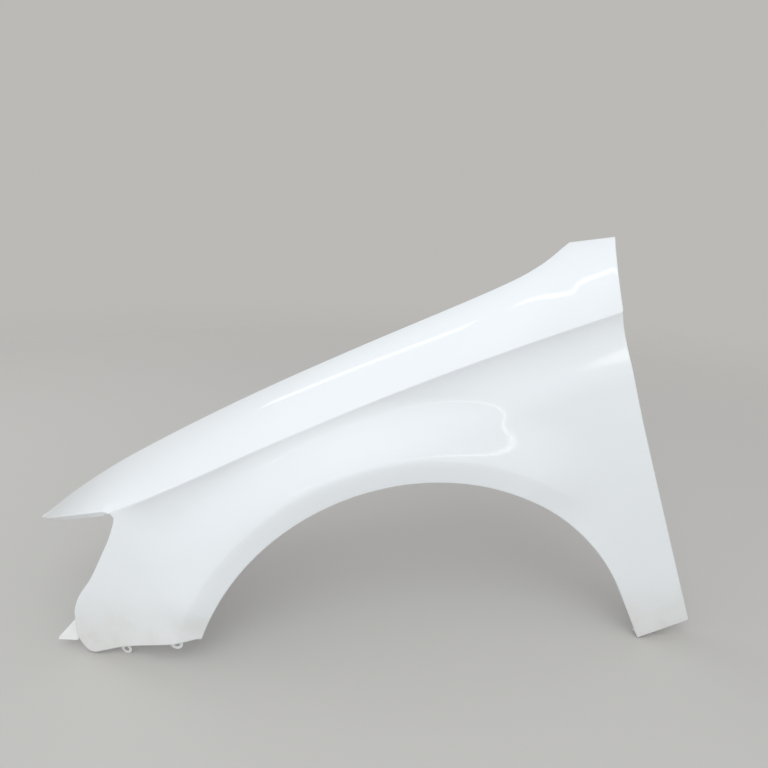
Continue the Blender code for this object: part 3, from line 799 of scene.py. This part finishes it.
def rail_wall_rows(strip):
    """The wall that drops from the hood edge, down to the rail's plane behind the lamp."""
    edge = strip[-1][FINE:-SCREEN_STATIONS]
    outs = outward_directions(edge, strip[-2][FINE:-SCREEN_STATIONS])
    rows = folded_rows(edge, outs, [DOWN] * len(edge), [0] * len(edge))[:FOLD_STEPS + 1]
    front_bend = hood_edge_at(RAIL_FRONT_X).z - FOLD_RADIUS
    front_drop = front_bend - rail_height(RAIL_FRONT_X) - FOLD_RADIUS
    bottom = []
    for point in rows[-1]:
        z = rail_height(point.x) + FOLD_RADIUS
        if point.x < RAIL_FRONT_X:
            share = (RAIL_FRONT_X - point.x) / (RAIL_FRONT_X - TIP_X)
            z = point.z - front_drop * blend(1, SPIKE_WALL_TIP_SHARE, share)
        bottom.append(Vector((point.x, point.y, z)))
    bend_end = rows[-1]
    for step in range(1, LEG_ROWS + 1):
        rows.append([blend(p, low, step / LEG_ROWS) for p, low in zip(bend_end, bottom)])
    return rows


def pad_share(station):
    """1 on the wider stretches of the shelf, 0 between them and smooth on the way."""
    def on_pad(index):
        return index % PAD_SPACING_STATIONS in PAD_STATIONS
    low = int(station)
    way = smooth_step(station - low, 0, 1)
    return blend(float(on_pad(low)), float(on_pad(low + 1)), way)


def rail_shelf_rows(wall):
    """The bolt shelf: its bend from the wall, then a flat run that widens at each pad."""
    start = next(i for i in range(0, len(wall[-1]), FINE) if wall[-1][i].x >= RAIL_FRONT_X)
    edge = wall[-1][start:]
    last = (len(edge) - 1) // FINE
    widths = []
    for station in range(len(edge)):
        share = pad_share(min(station / FINE, last))
        widths.append(blend(RAIL_WIDTH, RAIL_PAD_WIDTH, share))
    count = len(edge)
    return folded_rows(edge, [DOWN] * count, [INBOARD] * count, widths)


def build_flanges(side, strip):
    wall = rail_wall_rows(strip)
    return {
        "arch": arch_hem_rows(side),
        "front": front_flange_rows(side),
        "door": door_flange_rows(side),
        "bumper": bumper_flange_rows(side),
        "sill": sill_flange_rows(side),
        "spike": spike_flange_rows(strip),
        "shoulder": shoulder_flange_rows(strip),
        "top": top_flange_rows(strip),
        "wall": wall,
        "shelf": rail_shelf_rows(wall),
    }


# Corners, where two neighbouring flanges meet

def swept(start, end, axis, share):
    """A way turned from one about an axis to another, its length and rise blended."""
    rise_start = start.dot(axis)
    rise_end = end.dot(axis)
    flat_start = start - axis * rise_start
    flat_end = end - axis * rise_end
    if flat_start.length < WELD_DISTANCE or flat_end.length < WELD_DISTANCE:
        return blend(start, end, share)
    length = blend(flat_start.length, flat_end.length, share)
    turned = flat_start.normalized().slerp(flat_end.normalized(), share)
    return turned * length + axis * blend(rise_start, rise_end, share)


def corner_columns(first, last, axis):
    """Columns that carry the end of one flange round the corner to the start of the next."""
    pivot = first[0]
    columns = []
    for step in range(CORNER_STEPS + 1):
        share = step / CORNER_STEPS
        columns.append([pivot] + [
            pivot + swept(a - pivot, b - pivot, axis, share) for a, b in zip(first[1:], last[1:])
        ])
    return columns


def corner_patches(flanges):
    """The bent corners of the skin. Near-straight ones carry the leg as well."""
    def column(name, index, whole):
        rows = flanges[name] if whole else flanges[name][:FOLD_STEPS + 1]
        return [row[index] for row in rows]

    lid = (DOWN + SHOULDER_INWARD).normalized()
    corners = (
        ("arch", -1, "sill", 0, INBOARD, False),
        ("sill", -1, "door", -1, INBOARD, False),
        ("arch", 0, "bumper", 0, INBOARD, False),
        ("bumper", -1, "front", 0, INBOARD, True),
        ("front", -1, "spike", -1, INBOARD, True),
        ("shoulder", 0, "door", 0, INBOARD, True),
        ("shoulder", -1, "top", -1, lid, False),
        ("wall", -1, "top", 0, DOWN, False),
    )
    patches = []
    for name_a, end_a, name_b, end_b, axis, whole in corners:
        first = column(name_a, end_a, whole)
        last = column(name_b, end_b, whole)
        patches.append(corner_columns(first, last, axis))
    return patches


# Holes and tabs

def add_grid(sheet, rows, windows=()):
    """Adds quads between rows of equally many points, leaving out the windows' stations."""
    lines = [[sheet.verts.new(point) for point in row] for row in rows]
    for level, (low, high) in enumerate(zip(lines, lines[1:])):
        for station in range(len(low) - 1):
            inside = any(a <= station < b and level >= FOLD_STEPS for a, b in windows)
            if not inside:
                sheet.faces.new((low[station], low[station + 1], high[station + 1], high[station]))


def add_ring(sheet, outline, centre, diameter):
    """A plate between a closed outline and a round hole."""
    outer = [sheet.verts.new(point) for point in outline]
    inner = []
    for point in outline:
        inner.append(sheet.verts.new(centre + (point - centre).normalized() * diameter / 2))
    for index in range(len(outline)):
        after = (index + 1) % len(outline)
        sheet.faces.new((outer[index], outer[after], inner[after], inner[index]))


def window_round(row, station, diameter):
    """The stations before and after a hole that leave room for it."""
    reach = diameter * HOLE_WINDOW_SHARE
    centre = row[station]
    start = station
    while start > 0 and (row[start] - centre).length < reach:
        start -= 1
    end = station
    while end < len(row) - 1 and (row[end] - centre).length < reach:
        end += 1
    return start, end


def add_pierced(sheet, rows, stations, diameter):
    """Adds a flange whose leg has a round hole at each of the stations."""
    legs = rows[FOLD_STEPS:]
    windows = [window_round(legs[0], station, diameter) for station in stations]
    add_grid(sheet, rows, windows)
    for (start, end), station in zip(windows, stations):
        outline = list(legs[0][start:end])
        outline += [leg[end] for leg in legs[:-1]]
        outline += list(reversed(legs[-1][start + 1:end + 1]))
        outline += [leg[start] for leg in reversed(legs[1:])]
        centre = (legs[0][station] + legs[-1][station]) / 2
        add_ring(sheet, outline, centre, diameter)


def tab_outline(root, reach):
    """A flat tab with a half-round end that grows from a run of points on an edge."""
    middle = (root[0] + root[-1]) / 2
    half = (root[-1] - root[0]) / 2
    straight = reach * max(0, 1 - half.length / reach.length)
    nose = reach - straight
    outline = list(reversed(root))
    for step in range(TAB_ROUND_STEPS + 1):
        turn = pi * step / TAB_ROUND_STEPS
        outline.append(middle + straight - half * cos(turn) + nose * sin(turn))
    return outline


def add_tab(sheet, root, reach, hole_reach=None, diameter=None):
    outline = tab_outline(root, reach)
    if diameter is None:
        sheet.faces.new([sheet.verts.new(point) for point in outline])
        return
    centre = (root[0] + root[-1]) / 2 + reach.normalized() * hole_reach
    add_ring(sheet, outline, centre, diameter)


def add_bumper_tab(sheet, front_flange):
    """The triangular tab that points forward from the front flange to the bumper."""
    first, last = BUMPER_TAB_STATIONS
    root = front_flange[-1][first * FINE:last * FINE + 1]
    along = (root[-1] - root[0]).normalized()
    forward = Vector((-1, 0, 0))
    foot = root[0] + forward * BUMPER_TAB_FOOT_REACH - along * BUMPER_TAB_FOOT_DROP
    tip = root[0] + forward * BUMPER_TAB_REACH
    outline = list(reversed(root)) + [foot, tip - along * FOLD_RADIUS, tip + along * FOLD_RADIUS]
    sheet.faces.new([sheet.verts.new(point) for point in outline])


def add_tabs(sheet, flanges):
    add_bumper_tab(sheet, flanges["front"])
    bumper_edge = flanges["bumper"][-1]
    for (first, last), length in zip(BUMPER_EAR_STATIONS, BUMPER_EAR_LENGTHS):
        root = bumper_edge[first * FINE:last * FINE + 1]
        add_tab(sheet, root, DOWN * length, length - EAR_HOLE_DIAMETER, EAR_HOLE_DIAMETER)
    first, last = ARCH_EAR_STATIONS
    add_tab(sheet, bumper_edge[first * FINE:last * FINE + 1], DOWN * ARCH_EAR_LENGTH)
    for station in DOOR_TAB_STATIONS:
        root = flanges["door"][-1][station * FINE:(station + 1) * FINE + 1]
        reach = INBOARD * DOOR_TAB_LENGTH
        add_tab(sheet, root, reach, DOOR_TAB_HOLE_REACH, BOLT_HOLE_DIAMETER)


# The panel

def build_sheet():
    """The pressing as one sheet without thickness, its faces pointing outboard."""
    side = body_side_rows()
    strip = shoulder_strip_rows()
    round_crease(side, strip)
    flanges = build_flanges(side, strip)
    sheet = bmesh.new()
    add_grid(sheet, side)
    add_grid(sheet, strip)

    hem_stations = len(flanges["arch"][0]) // FINE
    hem_holes = [round(share * (hem_stations - 1)) * FINE + FINE // 2 for share in ARCH_HOLE_SHARES]
    add_pierced(sheet, flanges["arch"], hem_holes, SCREW_HOLE_DIAMETER)
    sill_holes = [station * FINE for station in SILL_HOLE_STATIONS]
    add_pierced(sheet, flanges["sill"], sill_holes, BOLT_HOLE_DIAMETER)
    shelf_stations = (len(flanges["shelf"][0]) - 1) // FINE
    pads = [s for s in range(shelf_stations) if pad_share(s) == 1 and pad_share(s + 1) == 1]
    rail_holes = [station * FINE + FINE // 2 for station in pads]
    add_pierced(sheet, flanges["shelf"], rail_holes, BOLT_HOLE_DIAMETER)
    for name in ("front", "door", "bumper", "spike", "shoulder", "top", "wall"):
        add_grid(sheet, flanges[name])
    for columns in corner_patches(flanges):
        add_grid(sheet, columns)
    add_tabs(sheet, flanges)

    bmesh.ops.remove_doubles(sheet, verts=sheet.verts, dist=WELD_DISTANCE)
    bmesh.ops.dissolve_degenerate(sheet, edges=sheet.edges, dist=DISSOLVE_DISTANCE)
    bmesh.ops.recalc_face_normals(sheet, faces=sheet.faces)
    if sum(face.normal.y * face.calc_area() for face in sheet.faces) > 0:
        bmesh.ops.reverse_faces(sheet, faces=sheet.faces)
    return sheet


def build_panel():
    sheet = build_sheet()
    low = Vector(cad_box[0])
    high = Vector(cad_box[1]) - INBOARD * SHEET_THICKNESS
    for vertex in sheet.verts:
        place = vertex.co - PART_ORIGIN
        vertex.co = [min(max(place[i], low[i]), high[i]) for i in range(3)]
    for face in sheet.faces:
        face.smooth = True
    for edge in sheet.edges:
        edge.smooth = edge.is_manifold and edge.calc_face_angle() < SHARP_ANGLE
    mesh = bpy.data.meshes.new("fender_pressing")
    sheet.to_mesh(mesh)
    sheet.free()
    mesh.materials.append(outer_paint())
    mesh.materials.append(inner_paint())
    panel = bpy.data.objects.new("fender_pressing", mesh)
    bpy.context.collection.objects.link(panel)
    gauge = panel.modifiers.new("sheet gauge", "SOLIDIFY")
    gauge.thickness = SHEET_THICKNESS
    gauge.offset = -1
    gauge.use_even_offset = True
    gauge.material_offset = 1
    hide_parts("fender_panel")
    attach(panel, "root")
    return panel


# Materials

class Nodes:
    """Short ways to add and join the nodes of one material or world."""

    def __init__(self, tree):
        self.tree = tree

    def add(self, kind, inputs=None, **settings):
        node = self.tree.nodes.new(kind)
        for name, value in settings.items():
            setattr(node, name, value)
        for name, value in (inputs or {}).items():
            if isinstance(value, bpy.types.NodeSocket):
                self.tree.links.new(value, node.inputs[name])
            else:
                node.inputs[name].default_value = value
        return node

    def noise(self, vector, settings):
        scale, detail, roughness = settings
        node = self.add("ShaderNodeTexNoise", {
            "Vector": vector, "Scale": scale, "Detail": detail, "Roughness": roughness})
        return node.outputs["Fac"]

    def ranged(self, value, span, to_span=(0.0, 1.0)):
        """A value's smooth way across one span carried over to another span."""
        node = self.add("ShaderNodeMapRange", {
            "Value": value, "From Min": span[0], "From Max": span[1],
            "To Min": to_span[0], "To Max": to_span[1]}, interpolation_type="SMOOTHSTEP")
        return node.outputs["Result"]

    def math(self, operation, first, second):
        node = self.add("ShaderNodeMath", {0: first, 1: second}, operation=operation)
        return node.outputs["Value"]

    def vector_math(self, operation, inputs):
        node = self.add("ShaderNodeVectorMath", inputs, operation=operation)
        return node.outputs["Value"]

    def bump(self, height, strength):
        node = self.add("ShaderNodeBump", {
            "Height": height, "Strength": strength, "Distance": BUMP_DISTANCE})
        return node.outputs["Normal"]

    def seen_rays(self):
        """1 for what is seen directly, in a reflection or through glass, 0 for its light."""
        path = self.add("ShaderNodeLightPath").outputs
        mirrored = self.math("MAXIMUM", path["Is Glossy Ray"], path["Is Transmission Ray"])
        return self.math("MAXIMUM", path["Is Camera Ray"], mirrored)

    def mixed(self, share, first, second):
        node = self.add("ShaderNodeMix", data_type="RGBA")
        sockets = (*node.inputs[:1], *(s for s in node.inputs if s.type == "RGBA"))
        for socket, value in zip(sockets, (share, first, second)):
            if isinstance(value, bpy.types.NodeSocket):
                self.tree.links.new(value, socket)
            else:
                socket.default_value = value
        return next(s for s in node.outputs if s.type == "RGBA")

    def paint(self, shader, colour, roughness, normal):
        self.tree.links.new(colour, shader.inputs["Base Color"])
        self.tree.links.new(roughness, shader.inputs["Roughness"])
        self.tree.links.new(normal, shader.inputs["Normal"])


def new_material(name):
    material = bpy.data.materials.new(name)
    material.use_nodes = True
    shader = material.node_tree.nodes["Principled BSDF"]
    nodes = Nodes(material.node_tree)
    place = nodes.add("ShaderNodeTexCoord").outputs["Object"]
    return material, nodes, shader, place


def outer_paint():
    """Gloss white body paint under clear coat, with faint peel, a little road dust and painted
    shade low down.
    """
    material, nodes, shader, place = new_material("white_gloss_paint")
    tone = nodes.ranged(nodes.noise(place, WHITE_CLOUDS), TONE_RANGE)
    white = nodes.mixed(tone, *WHITE_TONES)

    # A film low down, partly road dirt and partly painted shade, darker towards the floor
    height = nodes.vector_math("DOT_PRODUCT", {0: place, 1: OFF_FLOOR})
    low = nodes.ranged(height, DIRT_AND_SHADE_HEIGHTS, (1.0, 0.0))
    film = nodes.ranged(nodes.noise(place, DIRT_AND_SHADE_FILM), DIRT_AND_SHADE_FILM_RANGE)
    film = nodes.math("MULTIPLY", low, nodes.math("ADD", film, DIRT_AND_SHADE_BASE))
    specks = nodes.ranged(nodes.noise(place, SPECKS), SPECK_RANGE)
    dirt_and_shade = nodes.math("ADD", nodes.math("MULTIPLY", film, DIRT_AND_SHADE_AMOUNT),
                      nodes.math("MULTIPLY", specks, SPECK_AMOUNT))
    colour = nodes.mixed(dirt_and_shade, white, DIRT_AND_SHADE_COLOUR)

    smear = nodes.ranged(nodes.noise(place, SMEARS), SMEAR_RANGE, PAINT_ROUGHNESS)
    roughness = nodes.math("ADD", smear, nodes.math("MULTIPLY", dirt_and_shade, DIRT_ROUGHNESS))
    peel = nodes.bump(nodes.noise(place, PEEL), PEEL_STRENGTH)

    shader.inputs["Metallic"].default_value = 0.0
    shader.inputs["IOR"].default_value = PAINT_IOR
    shader.inputs["Coat Weight"].default_value = 1.0
    shader.inputs["Coat Roughness"].default_value = COAT_ROUGHNESS
    nodes.paint(shader, colour, roughness, peel)
    material.node_tree.links.new(peel, shader.inputs["Coat Normal"])
    return material


def inner_paint():
    """The unseen side: thinner, duller white with overspray grain and dust."""
    material, nodes, shader, place = new_material("white_thin_paint")
    tone = nodes.ranged(nodes.noise(place, THIN_CLOUDS), TONE_RANGE)
    white = nodes.mixed(tone, *THIN_TONES)
    dust = nodes.ranged(nodes.noise(place, DUST_FILM), DUST_RANGE, (0.0, DUST_AMOUNT))
    colour = nodes.mixed(dust, white, DUST_COLOUR)
    roughness = nodes.ranged(nodes.noise(place, THIN_SMEARS), TONE_RANGE, THIN_ROUGHNESS)
    grain = nodes.bump(nodes.noise(place, GRAIN), GRAIN_STRENGTH)
    shader.inputs["Metallic"].default_value = 0.0
    nodes.paint(shader, colour, roughness, grain)
    return material


# Studio

def floor_paint():
    """Pale matt floor that passes into the backdrop far from the panel, as seen directly."""
    material, nodes, shader, place = new_material("pale_floor")
    shader.inputs["Base Color"].default_value = FLOOR_COLOUR
    shader.inputs["Roughness"].default_value = FLOOR_ROUGHNESS
    shader.inputs["Specular IOR Level"].default_value = FLOOR_SPECULAR
    far = nodes.ranged(nodes.vector_math("LENGTH", {0: place}), (FLOOR_FADE_START, FLOOR_FADE_END))
    clear = nodes.add("ShaderNodeBsdfTransparent").outputs["BSDF"]
    mix = nodes.add("ShaderNodeMixShader", {0: nodes.math("MULTIPLY", far, nodes.seen_rays())})
    links = material.node_tree.links
    links.new(shader.outputs["BSDF"], mix.inputs[1])
    links.new(clear, mix.inputs[2])
    links.new(mix.outputs["Shader"], material.node_tree.nodes["Material Output"].inputs["Surface"])
    return material


def build_floor(panel):
    """The floor on which the panel stands in the photograph, on its foot and its nose."""
    mesh = bpy.data.meshes.new("studio_floor")
    half = FLOOR_SIZE / 2
    mesh.from_pydata([(-half, -half, 0), (half, -half, 0), (half, half, 0), (-half, half, 0)],
                     [], [(0, 1, 2, 3)])
    mesh.materials.append(floor_paint())
    floor = bpy.data.objects.new("studio_floor", mesh)
    bpy.context.collection.objects.link(floor)
    points = [vertex.co for vertex in panel.data.vertices]
    nose = min((p for p in points if p.x < 0), key=LEVEL_UP.dot)
    foot = min((p for p in points if p.x > 0), key=LEVEL_UP.dot)
    along = (foot - nose).normalized()
    up = along.cross(LEVEL_FORWARD).normalized()
    level = min(up.dot(point) for point in points)
    turn = Matrix((along, up.cross(along), up)).transposed().to_4x4()
    turn.translation = up * (level - SHEET_THICKNESS - FLOOR_GAP)
    floor.matrix_world = turn


def build_world():
    world = bpy.data.worlds.new("soft_daylight")
    bpy.context.scene.world = world
    world.use_nodes = True
    world.node_tree.nodes.clear()
    nodes = Nodes(world.node_tree)
    way = nodes.add("ShaderNodeTexCoord").outputs["Generated"]
    strength = nodes.ranged(
        nodes.vector_math("DOT_PRODUCT", {0: way, 1: DIM_SIDE}), DIM_RANGE, SKY_STRENGTHS)
    light = nodes.add("ShaderNodeBackground", {"Color": SKY_COLOUR, "Strength": strength})
    backdrop = nodes.add("ShaderNodeBackground", {"Color": BACKDROP_COLOUR, "Strength": 1.0})
    mix = nodes.add("ShaderNodeMixShader", {0: nodes.seen_rays()})
    links = world.node_tree.links
    links.new(light.outputs[0], mix.inputs[1])
    links.new(backdrop.outputs[0], mix.inputs[2])
    output = nodes.add("ShaderNodeOutputWorld")
    links.new(mix.outputs[0], output.inputs["Surface"])


def studio_point(place):
    """A place seen from the part's origin along the level directions of the photograph."""
    right, forward, up = place
    return LEVEL_RIGHT * right + LEVEL_FORWARD * forward + LEVEL_UP * up


def add_lamp(name, middle, along, length, width, watts, colour, target=(0, 0, 0)):
    """A flat lamp whose long side runs along a line and whose face is turned to a target."""
    data = bpy.data.lights.new(name, "AREA")
    data.shape = "RECTANGLE"
    data.size = length
    data.size_y = width
    data.energy = watts
    data.color = colour
    lamp = bpy.data.objects.new(name, data)
    bpy.context.collection.objects.link(lamp)
    side = along.normalized()
    back = middle - Vector(target)
    back = (back - side * back.dot(side)).normalized()
    turn = Matrix((side, back.cross(side), back)).transposed().to_4x4()
    turn.translation = middle
    lamp.matrix_world = turn
    return lamp


def build_lamps():
    """Two soft lamps that leave no reflection, and tubes whose reflections show."""
    key = add_lamp(
        "soft_key", studio_point(KEY_PLACE), LEVEL_RIGHT, KEY_LENGTH, KEY_WIDTH, KEY_WATTS,
        SOFT_COLOUR)
    key.visible_glossy = False
    fill = add_lamp(
        "front_fill", studio_point(FILL_PLACE), LEVEL_FORWARD, FILL_LENGTH, FILL_WIDTH,
        FILL_WATTS, SOFT_COLOUR, studio_point(FILL_TARGET))
    fill.visible_glossy = False
    for name, start, end, watts in TUBES:
        first = studio_point(start)
        last = studio_point(end)
        along = last - first
        add_lamp(name, (first + last) / 2, along, along.length, TUBE_WIDTH, watts, TUBE_COLOUR)


def build_camera():
    data = bpy.data.cameras.new("photo_camera")
    data.lens = LENS_MM
    data.sensor_width = SENSOR_MM
    data.sensor_fit = "HORIZONTAL"
    data.clip_start = CLIP_START
    data.clip_end = CLIP_END
    camera = bpy.data.objects.new("photo_camera", data)
    bpy.context.collection.objects.link(camera)
    right = CAMERA_RIGHT.normalized()
    back = right.cross(CAMERA_UP).normalized()
    up = back.cross(right)
    turn = Matrix((right, up, back)).transposed().to_4x4()
    turn.translation = CAMERA_PLACE - PART_ORIGIN
    camera.matrix_world = turn
    bpy.context.scene.camera = camera


def main():
    panel = build_panel()
    build_floor(panel)
    build_world()
    build_lamps()
    build_camera()
    bpy.context.scene.view_settings.view_transform = "Standard"


main()

bpy.context.view_layer.update()
